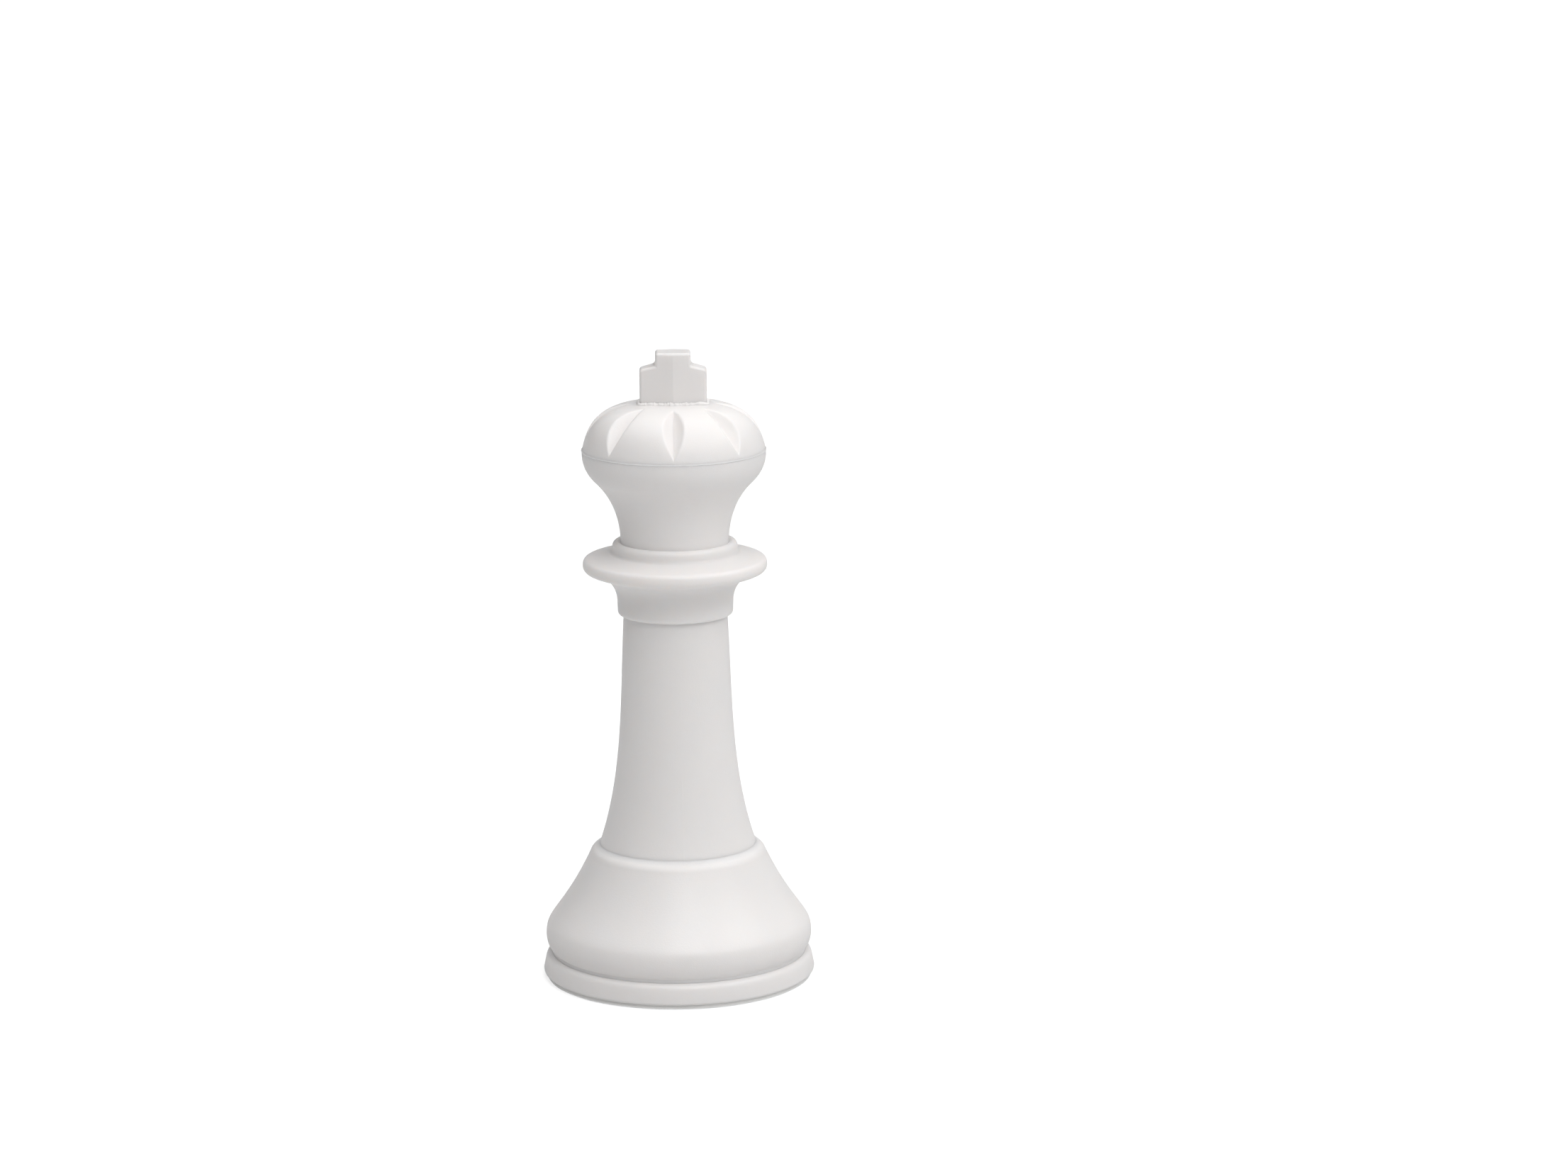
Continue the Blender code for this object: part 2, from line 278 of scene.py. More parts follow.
def remap(tree, source, low, high, start=0.3, end=0.7):
    """A noise's value stretched from start..end to low..high."""
    made = add_node(tree, "ShaderNodeMapRange")
    made.inputs["From Min"].default_value = start
    made.inputs["From Max"].default_value = end
    made.inputs["To Min"].default_value = low
    made.inputs["To Max"].default_value = high
    tree.links.new(source, made.inputs["Value"])
    return made.outputs["Result"]


def blend_colour(tree, factor, first, second):
    made = tree.nodes.new("ShaderNodeMix")
    made.data_type = "RGBA"
    feed(tree, made.inputs["Factor"], factor)
    feed(tree, made.inputs["A"], first)
    feed(tree, made.inputs["B"], second)
    return made.outputs["Result"]


def bump(tree, height, strength, distance, before=None):
    made = add_node(tree, "ShaderNodeBump", Strength=strength, Distance=distance)
    tree.links.new(height, made.inputs["Height"])
    if before is not None:
        tree.links.new(before.outputs["Normal"], made.inputs["Normal"])
    return made


def moulded_plastic(name, tint=1.0, grain=1.0, depth=0.45):
    """Satin warm white plastic with a fine mould grain. depth is the share of light that goes in. A
    tint below 1 darkens the colour as painted shade.
    """
    material, tree, shader = new_material(name)
    cloud = noise_at(tree, 60.0, 3.0)
    warm = (0.893 * tint, 0.866 * tint, 0.852 * tint, 1.0)
    cool = (0.882 * tint, 0.861 * tint, 0.853 * tint, 1.0)
    colour = blend_colour(tree, remap(tree, cloud.outputs["Fac"], 0.0, 1.0), warm, cool)
    tree.links.new(colour, shader.inputs["Base Color"])
    fine = noise_at(tree, GRAIN_SCALE, 1.0)
    pebble = bump(tree, fine.outputs["Fac"], GRAIN_BUMP * grain, GRAIN_HEIGHT)
    swirl = noise_at(tree, SHRINK_SCALE, 1.0)
    wave = bump(tree, swirl.outputs["Fac"], SHRINK_BUMP, SHRINK_HEIGHT, pebble)
    tree.links.new(wave.outputs["Normal"], shader.inputs["Normal"])
    patch = noise_at(tree, 420.0, 2.0)
    tree.links.new(remap(tree, patch.outputs["Fac"], 0.31, 0.41), shader.inputs["Roughness"])
    shader.inputs["Subsurface Weight"].default_value = depth
    shader.inputs["Subsurface Radius"].default_value = LIGHT_REACH
    shader.inputs["Subsurface Scale"].default_value = LIGHT_DEPTH
    shader.inputs["IOR"].default_value = 1.48
    return material


def facing_out(tree):
    """1 where the surface looks sideways, 0 where it looks up or down; it masks the felt's painted
    edge light.
    """
    surface = tree.nodes.new("ShaderNodeNewGeometry")
    parts = tree.nodes.new("ShaderNodeSeparateXYZ")
    tree.links.new(surface.outputs["True Normal"], parts.inputs[0])
    flat = math_node(tree, "ABSOLUTE", parts.outputs["Z"])
    return remap(tree, flat, 1.0, 0.0, 0.2, 0.8)


def felt(name):
    """Pressed grey-white felt with mottled fibres, and its sideways-facing edge painted paler:
    painted light, as if the floor lit it.
    """
    material, tree, shader = new_material(name)
    mottle = noise_at(tree, 900.0, 6.0, 0.7)
    pale = (0.74, 0.755, 0.785, 1.0)
    deep = (0.60, 0.615, 0.645, 1.0)
    # painted light: the pad's side is painted near-white, as if the floor lit the edge
    painted_edge_light = (0.95, 0.945, 0.93, 1.0)
    face = blend_colour(tree, remap(tree, mottle.outputs["Fac"], 0.0, 1.0), pale, deep)
    colour = blend_colour(tree, facing_out(tree), face, painted_edge_light)
    tree.links.new(colour, shader.inputs["Base Color"])
    fibre = noise_at(tree, 3200.0, 5.0, 0.75)
    fibre.inputs["Distortion"].default_value = 2.0
    low = bump(tree, mottle.outputs["Fac"], 0.6, 0.0003)
    fuzz = bump(tree, fibre.outputs["Fac"], 0.7, 0.00015, low)
    tree.links.new(fuzz.outputs["Normal"], shader.inputs["Normal"])
    tree.links.new(remap(tree, fibre.outputs["Fac"], 0.85, 1.0), shader.inputs["Roughness"])
    shader.inputs["Sheen Weight"].default_value = 0.35
    shader.inputs["Sheen Roughness"].default_value = 0.6
    shader.inputs["Specular IOR Level"].default_value = 0.2
    return material


def cast_iron(name):
    material, tree, shader = new_material(name)
    stain = noise_at(tree, 220.0, 5.0, 0.65)
    dark = (0.055, 0.052, 0.050, 1.0)
    rust = (0.135, 0.105, 0.085, 1.0)
    colour = blend_colour(tree, remap(tree, stain.outputs["Fac"], 0.0, 1.0), dark, rust)
    tree.links.new(colour, shader.inputs["Base Color"])
    sand = noise_at(tree, 1400.0, 4.0, 0.7)
    pits = bump(tree, sand.outputs["Fac"], 0.7, 0.0003)
    tree.links.new(pits.outputs["Normal"], shader.inputs["Normal"])
    tree.links.new(remap(tree, sand.outputs["Fac"], 0.5, 0.75), shader.inputs["Roughness"])
    shader.inputs["Metallic"].default_value = 0.85
    return material


def zinc_steel(name):
    material, tree, shader = new_material(name)
    spangle = noise_at(tree, 900.0, 3.0, 0.6)
    bright = (0.62, 0.63, 0.64, 1.0)
    dull = (0.47, 0.475, 0.48, 1.0)
    colour = blend_colour(tree, remap(tree, spangle.outputs["Fac"], 0.0, 1.0), bright, dull)
    tree.links.new(colour, shader.inputs["Base Color"])
    tree.links.new(remap(tree, spangle.outputs["Fac"], 0.25, 0.42), shader.inputs["Roughness"])
    relief = bump(tree, spangle.outputs["Fac"], 0.2, 0.00005)
    tree.links.new(relief.outputs["Normal"], shader.inputs["Normal"])
    shader.inputs["Metallic"].default_value = 1.0
    return material


def floor_white(name):
    """A pale table that glows for the camera, and is clear from below and to what rests on it."""
    material, tree, shader = new_material(name)
    haze = noise_at(tree, 4.0, 2.0)
    pale, paler = ((level, level, level, 1.0) for level in (FLOOR_PALE, FLOOR_PALE + 0.02))
    colour = blend_colour(tree, remap(tree, haze.outputs["Fac"], 0.0, 1.0), pale, paler)
    tree.links.new(colour, shader.inputs["Base Color"])
    shader.inputs["Roughness"].default_value = 0.9
    shader.inputs["Specular IOR Level"].default_value = 0.0
    glow = add_node(tree, "ShaderNodeEmission", Strength=FLOOR_GLOW)
    clear = tree.nodes.new("ShaderNodeBsdfTransparent")
    side = tree.nodes.new("ShaderNodeNewGeometry")
    path = tree.nodes.new("ShaderNodeLightPath")
    lit = tree.nodes.new("ShaderNodeAddShader")
    seen = tree.nodes.new("ShaderNodeMixShader")
    mix = tree.nodes.new("ShaderNodeMixShader")
    output = tree.nodes["Material Output"]
    tree.links.new(shader.outputs["BSDF"], lit.inputs[0])
    tree.links.new(glow.outputs["Emission"], lit.inputs[1])
    tree.links.new(path.outputs["Is Camera Ray"], seen.inputs["Fac"])
    tree.links.new(shader.outputs["BSDF"], seen.inputs[1])
    tree.links.new(lit.outputs["Shader"], seen.inputs[2])
    near = math_node(tree, "LESS_THAN", path.outputs["Ray Length"], FLOOR_TOUCH)
    touching = math_node(tree, "SUBTRACT", near, path.outputs["Is Camera Ray"])
    through = math_node(tree, "MAXIMUM", touching, side.outputs["Backfacing"])
    tree.links.new(through, mix.inputs["Fac"])
    tree.links.new(seen.outputs["Shader"], mix.inputs[1])
    tree.links.new(clear.outputs["BSDF"], mix.inputs[2])
    tree.links.new(mix.outputs["Shader"], output.inputs["Surface"])
    return material


# ---------------------------------------------------------------- the crown's grooves

GROOVES = 8
SECTOR = 2.0 * math.pi / GROOVES
VALLEY_LOW = np.array((29.1, 173.1))    # radius and height of a groove's line at its lower end
VALLEY_HIGH = np.array((14.4, 185.5))   # and at its upper end
GROOVES_FROM_R = 7.5    # inside this radius the dome has no groove
GROOVE_TAN = math.tan(math.radians(42.0))   # half the angle between a groove's walls
EDGE_SOFT = 0.45        # depth over which a groove's edge is rounded
EDGE_REACH = 1.3        # half the width that the edge's columns cover
WALL_LEAST = 0.7        # least width of a wall, where the groove has run out
WALL_COLUMNS = 7        # columns of points on a groove's wall
EDGE_COLUMNS = 6        # across its edge
PETAL_COLUMNS = 6       # and over half a petal


def valley_out():
    """Direction in the (radius, height) plane that points straight out of the valley."""
    along = (VALLEY_HIGH - VALLEY_LOW) / np.linalg.norm(VALLEY_HIGH - VALLEY_LOW)
    return np.array((along[1], -along[0]))


def groove_depth(r, z, angle):
    """How deep below the dome the groove's wall lies, negative where there is no groove."""
    out = valley_out()
    height = (r * np.cos(angle) - VALLEY_LOW[0]) * out[0] + (z - VALLEY_LOW[1]) * out[1]
    return height - np.abs(r * np.sin(angle)) / GROOVE_TAN


def soft_depth(depth):
    """The depth with its start eased, so that the groove's edge is rounded."""
    eased = (depth + EDGE_SOFT) ** 2 / (4.0 * EDGE_SOFT)
    return np.where(depth > EDGE_SOFT, depth, np.where(depth < -EDGE_SOFT, 0.0, eased))


def edge_angle(r, z):
    """Angle from the valley to the groove's edge at one place on the dome."""
    low, high = 0.0, SECTOR / 2.0
    if groove_depth(r, z, 0.0) <= 0.0:
        return 0.0
    for _ in range(40):
        middle = (low + high) / 2.0
        if groove_depth(r, z, middle) > 0.0:
            low = middle
        else:
            high = middle
    return low


def half_sector(r, z):
    """Column angles from the valley to the petal's middle, dense where the groove's edge is."""
    edge = max(edge_angle(r, z), WALL_LEAST / r)
    spread = min(EDGE_REACH / r, 0.6 * edge, 0.4 * (SECTOR / 2.0 - edge))
    wall = np.linspace(0.0, edge - spread, WALL_COLUMNS, endpoint=False)
    rim = np.linspace(edge - spread, edge + spread, EDGE_COLUMNS, endpoint=False)
    petal = np.linspace(edge + spread, SECTOR / 2.0, PETAL_COLUMNS, endpoint=False)
    return np.concatenate([wall, rim, petal])


def ring_angles(r, z):
    """All column angles of one ring of the crown."""
    half = half_sector(r, z)
    sector = np.concatenate([half, [SECTOR / 2.0], SECTOR - half[:0:-1]])
    return np.concatenate([sector + k * SECTOR for k in range(GROOVES)])


def groove_cut(r, z, angle):
    """Moves a place on the dome straight into its groove."""
    nearest = np.round(angle / SECTOR) * SECTOR
    local = angle - nearest
    depth = soft_depth(groove_depth(r, z, local))
    out = valley_out()
    x = r * np.cos(local) - depth * out[0]
    y = r * np.sin(local)
    cos, sin = np.cos(nearest), np.sin(nearest)
    return np.stack([x * cos - y * sin, x * sin + y * cos, z - depth * out[1]], -1)


# ---------------------------------------------------------------- pieces

SPIGOT_R = 4.0          # the cross's spigot
SPIGOT_BOSS_R = 7.2     # the boss under the dome that takes it
SPIGOT_BOTTOM = 178.0
CAP_LIP_R = 26.5        # the crown's lip inside the head's rim
CAP_LIP_BOTTOM = 169.2
CAP_LIP_INNER_R = 24.7
NECK_R = 17.2           # the head's spigot in the collar
NECK_WALL = 2.4
STEM_SPIGOT_R = 15.6    # the stem's spigot in the collar
STEM_SPIGOT_TOP = 129.7
STEM_SPIGOT_INNER_R = 13.7
STEM_TOP_R = 16.65
STEM_FOOT_R = 25.05     # the stem runs straight into the bell's lip
STEM_FOOT_INNER_R = 22.4
STEM_LEDGE = 38.6       # where the stem stands in the bell
WEB_BOTTOM = 130.3      # the collar's inner web
WEB_TOP = 133.5
WEB_INNER_R = 13.3
BELL_CEILING = 36.1
BELL_CEILING_R = 21.7
BELL_BOTTOM = 9.2
FOOT_SEAT = 8.1         # where the bell rests on the disc
FOOT_SKIRT_TOP = 13.0   # the disc's rim inside the bell
FOOT_SKIRT_INNER_R = 33.9
FLOOR_TOP = 4.3
GROOVE_R = 40.9         # the open groove between bell and disc
SKIRT_R = 36.1


def crown_curve():
    """The dome's outside, from beside the cross down to the crown seam."""
    start, end = (7.0, CAP_TOP), (CAP_R, EQUATOR + DOME_END)
    return curve(start, (23.1, CAP_TOP + 0.3), (27.3, 180.8), end, DOME)


def make_cap(material):
    """The domed crown: its outside has rings of columns that follow the grooves' edges."""
    bottom = EQUATOR + SEAM
    bore_r = SPIGOT_R + SEAM
    ceiling = 183.8
    outside = chain([(bore_r, CAP_TOP, 0.1)], crown_curve(), [(CAP_R, bottom)])
    inside = [
        (CAP_LIP_R, bottom), (CAP_LIP_R, CAP_LIP_BOTTOM), (CAP_LIP_INNER_R, CAP_LIP_BOTTOM),
        (CAP_LIP_INNER_R, 174.0), (12.8, ceiling), (SPIGOT_BOSS_R, ceiling),
        (SPIGOT_BOSS_R, SPIGOT_BOTTOM), (bore_r, SPIGOT_BOTTOM),
    ]
    outline = np.array(rounded(chain(outside, inside)))
    widest = int(np.argmax(outline[:, 0]))
    plain = ring_angles(CAP_R, bottom)
    verts = []
    for i, (r, z) in enumerate(outline):
        if r > GROOVES_FROM_R and i <= widest:
            verts.append(groove_cut(r, z, ring_angles(r, z)))
        else:
            ring = (r * np.cos(plain), r * np.sin(plain), np.full_like(plain, z))
            verts.append(np.stack(ring, -1))
    faces = grid_faces(len(outline), len(plain), True)
    return wear(add_mesh("crown_dome", np.concatenate(verts), faces, material), "crown_cap")


def make_head(material):
    """The bowl-shaped head, with a thin flash ridge that stands up round the crown seam."""
    waist = (25.5, 162.2)
    neck_top = (17.35, 145.0)
    neck_inner_r = NECK_R - NECK_WALL
    seat = WEB_TOP + SEAM
    ledge = CAP_R + 0.02
    flash = [
        (ledge, EQUATOR), (ledge, EQUATOR + 0.42), (HEAD_R + 0.2, EQUATOR + 0.02, 0.06),
        (HEAD_R, EQUATOR - 0.22, 0.1),
    ]
    outside = chain(
        flash,
        curve((HEAD_R, EQUATOR - 0.5), (HEAD_R, 170.9), (29.6, 166.3), waist, LONG),
        curve(waist, (21.0, 157.95), (18.1, 152.4), neck_top, LONG),
        [(NECK_R, BEAD_TOP), (NECK_R, seat), (neck_inner_r, seat)],
    )
    rim_inner = CAP_LIP_R + SEAM
    inner_waist = (23.9, 164.4)
    inside = chain(
        curve((neck_top[0] - NECK_WALL, 145.2), (15.8, 153.2), (19.0, 160.0), inner_waist, FINE),
        curve(inner_waist, (25.5, 165.9), (26.55, 167.2), (rim_inner, 168.5), FINE),
        [(rim_inner, EQUATOR)],
    )
    return wear(turned("head_bowl", chain(outside, inside), material), "head_shell")


def make_collar(material):
    """The bead, the thin disc and the band under it, in one moulding."""
    socket_r = NECK_R + SEAM
    bore_r = STEM_SPIGOT_R + SEAM
    bead_side = (19.9, 140.7)
    disc_rim = (29.35, 134.9)
    bead = chain(
        [(socket_r, BEAD_TOP - 0.5, 0.15)],
        curve((18.1, BEAD_TOP), (19.25, BEAD_TOP), (19.9, 141.8), bead_side, FINE),
        curve(bead_side, (19.9, 139.4), (20.1, 138.9), (20.9, 138.6), FINE),
    )
    disc = chain(
        curve((27.8, 137.05), (28.85, 136.8), (29.3, 136.2), disc_rim, FINE),
        curve(disc_rim, (29.4, 133.5), (28.65, 132.8), (27.3, 132.4), FINE),
    )
    band = chain(
        curve((25.25, 131.7), (21.15, 130.75), (18.9, 127.95), (18.5, 123.65), LONG),
        curve((18.4, 120.25), (18.4, 119.45), (18.15, BAND_BOTTOM), (17.5, BAND_BOTTOM), FINE),
    )
    inside = [
        (bore_r, BAND_BOTTOM), (bore_r, WEB_BOTTOM), (WEB_INNER_R, WEB_BOTTOM),
        (WEB_INNER_R, WEB_TOP), (socket_r, WEB_TOP),
    ]
    return wear(turned("collar", chain(bead, disc, band, inside), material), "collar_ring")


PARTING_ANGLE = math.radians(-86.0)
PARTING_W = 0.011       # half width of the parting line's ridge, radians
PARTING_H = 0.05        # and its height
PARTING_TOP = 82.0      # the ridge fades out towards this height
PARTING_FADE = 20.0     # over this length
PARTING_LEAST = 0.15    # and keeps this share above it


def parting_angles():
    """Even columns, with a few more at the two parting lines."""
    even = even_angles()
    near = np.array([-2.0, -1.0, -0.5, 0.0, 0.5, 1.0, 2.0]) * PARTING_W
    lines = [PARTING_ANGLE % (2 * math.pi), (PARTING_ANGLE + math.pi) % (2 * math.pi)]
    kept = [a for a in even if all(abs(a - line) > 3.0 * PARTING_W for line in lines)]
    return np.array(sorted(kept + [line + n for line in lines for n in near]))


def parting_swell(angles, heights):
    """A faint ridge where the mould's halves met, strongest at the foot of the stem."""
    off = (angles - PARTING_ANGLE + math.pi / 2) % math.pi - math.pi / 2
    ridge = np.exp(-(off / PARTING_W) ** 2)
    fade = np.clip((PARTING_TOP - heights) / PARTING_FADE, PARTING_LEAST, 1.0)
    return PARTING_H * ridge * fade * (heights > LIP_TOP) * (heights < BAND_BOTTOM)


def make_stem(material):
    shoulder = BAND_BOTTOM - SEAM
    foot = STEM_LEDGE + SEAM
    at_lip = (STEM_FOOT_R, LIP_TOP + 0.1)
    outside = chain(
        [(STEM_SPIGOT_INNER_R, STEM_SPIGOT_TOP), (STEM_SPIGOT_R, STEM_SPIGOT_TOP)],
        [(STEM_SPIGOT_R, shoulder), (STEM_TOP_R, shoulder)],
        curve((STEM_TOP_R, 117.15), (18.0, 92.3), (17.2, 66.9), at_lip, WAIST),
        [(STEM_FOOT_R, foot), (STEM_FOOT_INNER_R, foot)],
    )
    inner_lip = (STEM_FOOT_INNER_R, LIP_TOP + 0.7)
    inside = chain(
        curve(inner_lip, (14.9, 68.1), (15.6, 92.3), (14.3, 117.1), FINE),
        [(STEM_SPIGOT_INNER_R, shoulder)],
    )
    obj = turned("stem", chain(outside, inside), material, parting_angles(), parting_swell)
    return wear(obj, "stem_shell")


def make_bell(material):
    """The bell with its narrow lip and, under the flank, the swollen rim."""
    lip_edge = (28.35, 40.35)
    crease = (41.75, 18.3)
    widest = (BELL_R, 13.9)
    socket_r = STEM_FOOT_R + SEAM
    lip = chain(
        [(socket_r, LIP_TOP + 0.16), (socket_r + 0.22, LIP_TOP - 0.06)],
        curve((26.4, 42.6), (27.4, 42.2), (27.95, 41.45), lip_edge, FINE),
    )
    flank = curve(lip_edge, (34.55, 27.0), (39.8, 21.8), crease, FLANK)
    torus = chain(
        curve(crease, (42.5, 17.0), (BELL_R, 15.5), widest, FINE),
        curve(widest, (42.7, 12.0), (42.2, 10.2), (GROOVE_R, BELL_BOTTOM), FINE),
    )
    seat = FOOT_SEAT + SEAM
    skirt = [(GROOVE_R, seat), (SKIRT_R, seat)]
    inside = chain(
        curve((SKIRT_R, 16.4), (36.4, 23.5), (31.4, 27.6), (28.2, BELL_CEILING), FINE),
        [(BELL_CEILING_R, BELL_CEILING), (BELL_CEILING_R, STEM_LEDGE), (socket_r, STEM_LEDGE)],
    )
    return wear(turned("bell", chain(lip, flank, torus, skirt, inside), material), "base_bell")


def make_foot(material):
    wall_r = SKIRT_R - SEAM
    top = [
        (0.0, FLOOR_TOP), (FOOT_SKIRT_INNER_R, FLOOR_TOP), (FOOT_SKIRT_INNER_R, FOOT_SKIRT_TOP),
        (wall_r, FOOT_SKIRT_TOP), (wall_r, FOOT_SEAT), (GROOVE_R, FOOT_SEAT),
    ]
    edge = chain(
        curve((41.3, 8.0), (42.3, 7.6), (42.8, 6.9), (43.0, 5.6), FINE),
        curve((FOOT_R, 2.4), (FOOT_R, 1.9), (43.45, FOOT_BOTTOM), (42.9, FOOT_BOTTOM), FINE),
    )
    outline = chain(top, edge, [(0.0, FOOT_BOTTOM)])
    return wear(turned("foot", outline, material), "foot_disc")


FELT_INSET = 0.12       # how far the cut edge stays inside the CAD pad
FELT_WAVE = 0.1         # and how much it wanders


def make_felt(material):
    """A pressed disc whose cut edge is a little soft and uneven."""
    top = FOOT_BOTTOM - 0.02
    outline = [(0.0, top), (FELT_R, top, 0.15), (FELT_R, 0.0, 0.35), (0.0, 0.0)]

    def uneven(angles, _heights):
        return FELT_WAVE * np.sin(angles * 9.0) * np.sin(angles * 4.0 + 1.0) - FELT_INSET

    obj = turned("felt", outline, material, None, uneven)
    wear(obj, "felt_pad")
    return obj


CROSS_TOP_HALF_W = 5.6
CROSS_HALF_T = 5.0      # half thickness at the centre line
CROSS_END_HALF_T = 3.5  # half thickness at the two ends
ARM_TOP = 199.1         # the arms' height at the top block
ARM_END_TOP = 197.8     # and at their ends
CROSS_ROUND = 0.9       # reach of the rounding at its edges


def make_cross(material):
    """The stepped cross: one outline, thickest at its centre line, with every edge rounded."""
    foot = CAP_TOP + SEAM
    half = [
        (0.0, CROSS_TOP), (CROSS_TOP_HALF_W, CROSS_TOP), (CROSS_TOP_HALF_W, ARM_TOP),
        (CROSS_HALF_W, ARM_END_TOP), (CROSS_HALF_W, foot), (0.0, foot),
    ]
    outline = half + [(-x, z) for x, z in half[-2:0:-1]]
    bm = bmesh.new()

    def ring(side):
        made = []
        for x, z in outline:
            share = abs(x) / CROSS_HALF_W
            depth = CROSS_HALF_T + (CROSS_END_HALF_T - CROSS_HALF_T) * share
            made.append(bm.verts.new((x * MM, side * depth * MM, z * MM)))
        return made

    front, back = ring(-1.0), ring(1.0)
    count = len(outline)
    middle = len(half) - 1
    for loop, flip in ((front, False), (back, True)):
        for face in (loop[:middle + 1], loop[middle:] + loop[:1]):
            bm.faces.new(face if flip else face[::-1])
    for i in range(count):
        j = (i + 1) % count
        bm.faces.new((front[i], front[j], back[j], back[i]))
    bmesh.ops.recalc_face_normals(bm, faces=bm.faces)
    mesh = bpy.data.meshes.new("cross")
    bm.to_mesh(mesh)
    bm.free()
    mesh.materials.append(material)
    obj = bpy.data.objects.new("cross", mesh)
    bpy.context.scene.collection.objects.link(obj)
    bevel = obj.modifiers.new("rounded_edges", "BEVEL")
    bevel.width = CROSS_ROUND * MM
    bevel.segments = 6
    bevel.limit_method = "ANGLE"
    bevel.angle_limit = math.radians(40.0)
    bevel.harden_normals = True
    mesh.shade_smooth()
    for edge in mesh.edges:
        a, b = (mesh.vertices[v].co for v in edge.vertices)
        edge.use_edge_sharp = max(abs(a.x), abs(b.x), abs(a.y - b.y)) < TINY
    return wear(obj, "cross_finial")


GLUE_COUNT = 260        # places round the foot of the cross
GLUE_ARC = 5            # steps across the bead's round
GLUE_WIDTH = 0.85
GLUE_RISE = 0.75


def cross_foot():
    """Places round the cross's foot, each with the direction that points away from it."""
    corners = [Vector(place) for place in (
        (CROSS_HALF_W, -CROSS_END_HALF_T), (CROSS_HALF_W, CROSS_END_HALF_T),
        (0.0, CROSS_HALF_T), (-CROSS_HALF_W, CROSS_END_HALF_T),
        (-CROSS_HALF_W, -CROSS_END_HALF_T), (0.0, -CROSS_HALF_T),
    )]
    spans = [(b - a).length for a, b in zip(corners, corners[1:] + corners[:1])]
    places = []
    for i, span in enumerate(spans):
        a, b = corners[i], corners[(i + 1) % len(corners)]
        out = Vector(((b - a).y, -(b - a).x)).normalized()
        count = max(2, round(GLUE_COUNT * span / sum(spans)))
        for k in range(count):
            places.append((a.lerp(b, (k + 0.5) / count), out))
    return places


def dome_height(radius):
    """Height of the crown's dome at one distance from the axis."""
    dome = np.array(crown_curve())
    return float(np.interp(radius, dome[:, 0], dome[:, 1]))


def make_glue(material):
    """The rough bead of glue that was squeezed out round the foot of the cross."""
    verts = []
    places = cross_foot()
    for place, out in places:
        spot = Vector((place.x * 0.9, place.y * 0.9, 3.0))
        coarse = noise.noise(spot)
        fine = noise.noise(spot * 3.3)
        width = GLUE_WIDTH + 0.35 * coarse + 0.2 * fine
        rise = GLUE_RISE + 0.3 * fine + 0.25 * coarse
        for k in range(GLUE_ARC + 1):
            turn = k / GLUE_ARC * math.pi / 2.0
            at = place + out * (SEAM + width * math.sin(turn))
            ground = dome_height(at.length) + SEAM
            verts.append((at.x, at.y, ground + rise * math.cos(turn)))
        at = place + out * SEAM
        verts.append((at.x, at.y, dome_height(at.length) + SEAM))
    faces = grid_faces(len(places), GLUE_ARC + 2, True)
    return wear(add_mesh("glue_bead", verts, faces, material, 75.0), "cross_finial")


SCREWS = 4


def make_pieces():
    """All visual pieces, and the finishes of the CAD pieces inside."""
    shell = moulded_plastic("moulded_shell")
    # the cross's tint of 0.95 makes the same plastic darker: painted shade
    make_cross(moulded_plastic("moulded_cross_painted_shade", 0.95, 0.6))
    make_glue(moulded_plastic("dried_glue", 1.02, 1.6, 0.1))
    make_cap(shell)
    make_head(shell)
    make_collar(moulded_plastic("moulded_collar", 1.0, 1.0, 0.9))
    make_stem(shell)
    make_bell(shell)
    make_foot(shell)
    make_felt(felt("pressed_felt"))
    inner = {"ballast_slug": cast_iron("cast_iron_weight")}
    steel = zinc_steel("zinc_screw")
    for number in range(1, SCREWS + 1):
        inner[f"foot_screw_{number}"] = steel
    for node, finish in inner.items():
        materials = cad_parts[node].data.materials
        materials.clear()
        materials.append(finish)


# ---------------------------------------------------------------- studio

TENT_RIGHT = 0.09       # how bright the tent is to the right
TENT_FRONT = 0.05       # in front, and as much behind
TENT_BACK = 0.6         # behind, more on the right
TENT_BACK_TURN = 0.25   # how far the light from behind reaches to the left
TENT_TOP = 1.8          # overhead
TENT_TOP_POWER = 3.0    # how narrow the overhead light is
TENT_BELOW = 0.9        # below, seen only by the underside
BACKDROP = 1.1          # how bright the wall behind looks to the camera
SOFTBOX_AIM = Vector((0.0, 0.0, 0.1))
SOFTBOXES = (           # name, place and size in metres, power in watts
    ("key", (0.75, -0.65, 0.85), 0.55, 1.4),
    ("front", (0.15, -0.9, 1.0), 0.6, 3.5),
    ("right", (0.9, -0.2, 0.9), 0.5, 1.7),
)
FLOOR_REACH = 30.0
FLOOR_LEVEL = -0.00005  # just under the felt
CAMERA_PLACE = Vector((0.0, -1.523, 0.4528))
CAMERA_YAW = math.radians(1.302)
CAMERA_PITCH = math.radians(12.09)
CAMERA_ROLL = math.radians(-0.348)
CAMERA_LENS = 112.3
SENSOR = 36.0


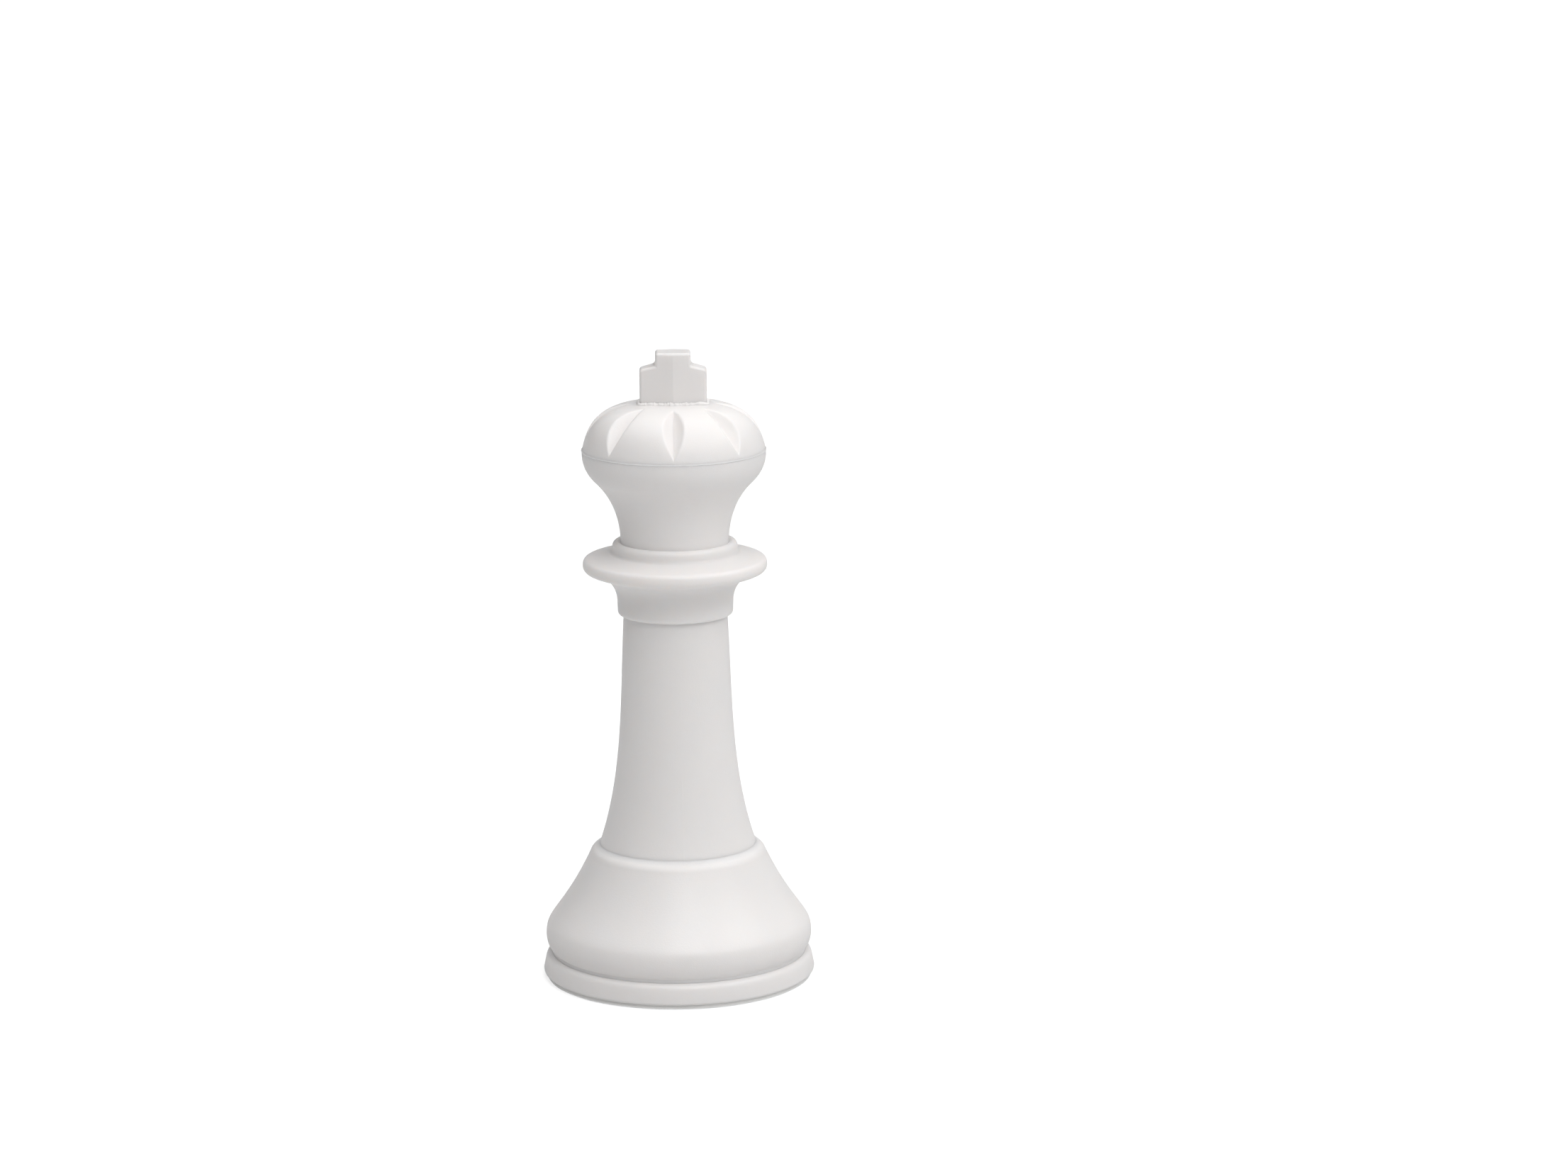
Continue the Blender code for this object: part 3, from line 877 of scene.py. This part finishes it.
def make_camera():
    """The camera from its place and three turns: about the vertical, downward, and a slight roll."""
    forward = Vector((
        math.sin(CAMERA_YAW) * math.cos(CAMERA_PITCH),
        math.cos(CAMERA_YAW) * math.cos(CAMERA_PITCH),
        -math.sin(CAMERA_PITCH),
    ))
    level = Vector((math.cos(CAMERA_YAW), -math.sin(CAMERA_YAW), 0.0))
    rise = level.cross(forward)
    right = level * math.cos(CAMERA_ROLL) + rise * math.sin(CAMERA_ROLL)
    up = rise * math.cos(CAMERA_ROLL) - level * math.sin(CAMERA_ROLL)
    turn = Matrix((right, up, -forward)).transposed()
    data = bpy.data.cameras.new("camera")
    data.lens = CAMERA_LENS
    data.sensor_width = SENSOR
    data.clip_start = 0.01
    data.clip_end = 100.0
    camera = bpy.data.objects.new("camera", data)
    camera.matrix_world = Matrix.Translation(CAMERA_PLACE) @ turn.to_4x4()
    bpy.context.scene.collection.objects.link(camera)
    bpy.context.scene.camera = camera


def make_floor():
    mesh = bpy.data.meshes.new("floor")
    corners = [(x * FLOOR_REACH, y * FLOOR_REACH, FLOOR_LEVEL)
               for x, y in ((-1, -1), (1, -1), (1, 1), (-1, 1))]
    mesh.from_pydata(corners, [], [(0, 1, 2, 3)])
    mesh.materials.append(floor_white("studio_floor"))
    floor = bpy.data.objects.new("floor", mesh)
    bpy.context.scene.collection.objects.link(floor)


def softbox(name, place, size, power):
    """A square area light that is aimed at the middle of the piece."""
    data = bpy.data.lights.new(name, "AREA")
    data.shape = "RECTANGLE"
    data.size = size
    data.size_y = size
    data.energy = power
    light = bpy.data.objects.new(name, data)
    light.location = place
    light.rotation_mode = "QUATERNION"
    light.rotation_quaternion = (SOFTBOX_AIM - Vector(place)).to_track_quat("-Z", "Y")
    bpy.context.scene.collection.objects.link(light)


def make_world():
    """A soft tent of light, brightest overhead, in front of a white backdrop."""
    world = bpy.data.worlds.new("studio")
    bpy.context.scene.world = world
    world.use_nodes = True
    tree = world.node_tree
    tent = tree.nodes["Background"]
    place = tree.nodes.new("ShaderNodeTexCoord")
    axes = tree.nodes.new("ShaderNodeSeparateXYZ")
    tree.links.new(place.outputs["Generated"], axes.inputs[0])
    across, deep, high = axes.outputs
    from_right = math_node(tree, "MAXIMUM", across, 0.0)
    from_front = math_node(tree, "ABSOLUTE", deep, 0.0)
    behind = math_node(tree, "MAXIMUM", deep, 0.0)
    turned_right = math_node(tree, "MAXIMUM", math_node(tree, "ADD", across, TENT_BACK_TURN), 0.0)
    from_back = math_node(tree, "MULTIPLY", behind, turned_right)
    from_top = math_node(tree, "POWER", math_node(tree, "MAXIMUM", high, 0.0), TENT_TOP_POWER)
    from_below = math_node(tree, "LESS_THAN", high, 0.0)
    level = math_node(tree, "MULTIPLY", from_right, TENT_RIGHT)
    parts = (
        (from_front, TENT_FRONT),
        (from_back, TENT_BACK),
        (from_top, TENT_TOP),
        (from_below, TENT_BELOW),
    )
    for part, strength in parts:
        level = math_node(tree, "ADD", level, math_node(tree, "MULTIPLY", part, strength))
    tree.links.new(level, tent.inputs["Strength"])
    backdrop = add_node(tree, "ShaderNodeBackground", Strength=BACKDROP)
    path = tree.nodes.new("ShaderNodeLightPath")
    mix = tree.nodes.new("ShaderNodeMixShader")
    tree.links.new(path.outputs["Is Camera Ray"], mix.inputs["Fac"])
    tree.links.new(tent.outputs["Background"], mix.inputs[1])
    tree.links.new(backdrop.outputs["Background"], mix.inputs[2])
    tree.links.new(mix.outputs["Shader"], tree.nodes["World Output"].inputs["Surface"])
    for background in (tent, backdrop):
        background.inputs["Color"].default_value = (1.0, 1.0, 1.0, 1.0)


def make_studio():
    make_camera()
    make_floor()
    make_world()
    for name, place, size, power in SOFTBOXES:
        softbox(name, place, size, power)
    bpy.context.scene.view_settings.view_transform = "Standard"


make_pieces()
make_studio()
